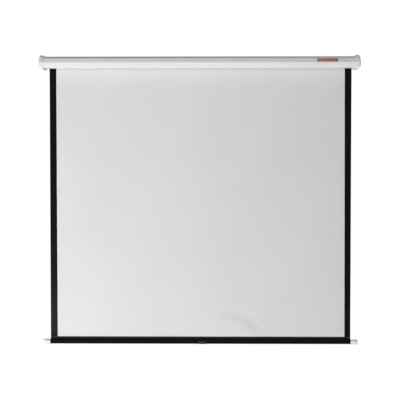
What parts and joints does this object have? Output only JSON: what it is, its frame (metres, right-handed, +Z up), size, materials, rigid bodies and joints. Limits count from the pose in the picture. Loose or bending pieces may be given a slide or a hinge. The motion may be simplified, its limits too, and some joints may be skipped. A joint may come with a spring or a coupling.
{
  "type": "projection screen",
  "caption": "Manual pull-down projection screen: sprung roller in a two-faced case with moulded end caps, white cloth with black borders, weighted hem bar.",
  "frame": {"origin": "middle of the case's flat back face, half way up and half way along, on the wall plane", "axes": "+X along the case to the right as seen from the front, +Y into the wall, +Z up"},
  "size_m": [1.9, 0.071, 1.7271],
  "materials": {
    "case_paint": "satin white powder coat on bent steel",
    "cap_plastic": "pale moulded plastic, fine grain",
    "zinc_steel": "bright zinc-plated steel",
    "dark_steel": "plain oiled steel",
    "label_red": "plain red film",
    "screen_cloth": "matte white coated screen cloth",
    "border_black": "matte black coated screen cloth",
    "knob_plastic": "light grey moulded plastic",
    "grip_black": "black moulded plastic",
    "nylon": "natural nylon"
  },
  "bodies": {
    "housing": {"case_shell": "case_paint", "end_cap_left": "cap_plastic", "end_cap_right": "cap_plastic", "bracket_left": "zinc_steel", "bracket_right": "zinc_steel", "cap_screw_left_upper": "dark_steel", "cap_screw_left_lower": "dark_steel", "cap_screw_right_upper": "dark_steel", "cap_screw_right_lower": "dark_steel", "case_rivet_left_back": "zinc_steel", "case_rivet_left_front": "zinc_steel", "case_rivet_right_back": "zinc_steel", "case_rivet_right_front": "zinc_steel", "label_plate": "label_red", "screen_cloth": "screen_cloth", "ratchet_ring": "dark_steel", "spring_mandrel": "zinc_steel", "mandrel_anchor": "dark_steel", "torsion_spring": "dark_steel", "idle_bush": "nylon"},
    "roller": {"roller_tube": "zinc_steel", "cloth_wraps": "screen_cloth", "lock_end_plug": "nylon", "pawl_keeper": "zinc_steel", "pawl_pin_upper": "zinc_steel", "pawl_pin_lower": "zinc_steel", "spring_drive_plug": "dark_steel", "mandrel_bearing": "nylon", "idle_end_plug": "nylon", "idle_pin": "zinc_steel"},
    "pawl_upper": {"pawl_upper": "dark_steel"},
    "pawl_lower": {"pawl_lower": "dark_steel"},
    "bottom_bar": {"hem_pocket": "border_black", "bottom_tube": "dark_steel", "bar_knob_left": "knob_plastic", "bar_knob_right": "knob_plastic", "pull_grip": "grip_black"}
  },
  "joints": [
    {"name": "screen_drop", "type": "slide", "parent": "housing", "child": "bottom_bar", "axis": [0, 0, 1], "range_m": [0, 1.61], "deforming": ["screen_cloth"]},
    {"name": "roller_spin", "type": "hinge", "parent": "housing", "child": "roller", "pos_m": [0, -0.0375, 0], "axis": [1, 0, 0], "range_deg": [0, 4320]},
    {"name": "pawl_upper_swing", "type": "hinge", "parent": "roller", "child": "pawl_upper", "pos_m": [-0.9135, -0.0277, 0.0096], "axis": [1, 0, 0], "range_deg": [0, 16]},
    {"name": "pawl_lower_swing", "type": "hinge", "parent": "roller", "child": "pawl_lower", "pos_m": [-0.9135, -0.0473, -0.0096], "axis": [1, 0, 0], "range_deg": [0, 16]}
  ],
  "couplings": [
    {"joint": "roller_spin", "follows": "screen_drop", "rad_per_m": 46.831}
  ]
}
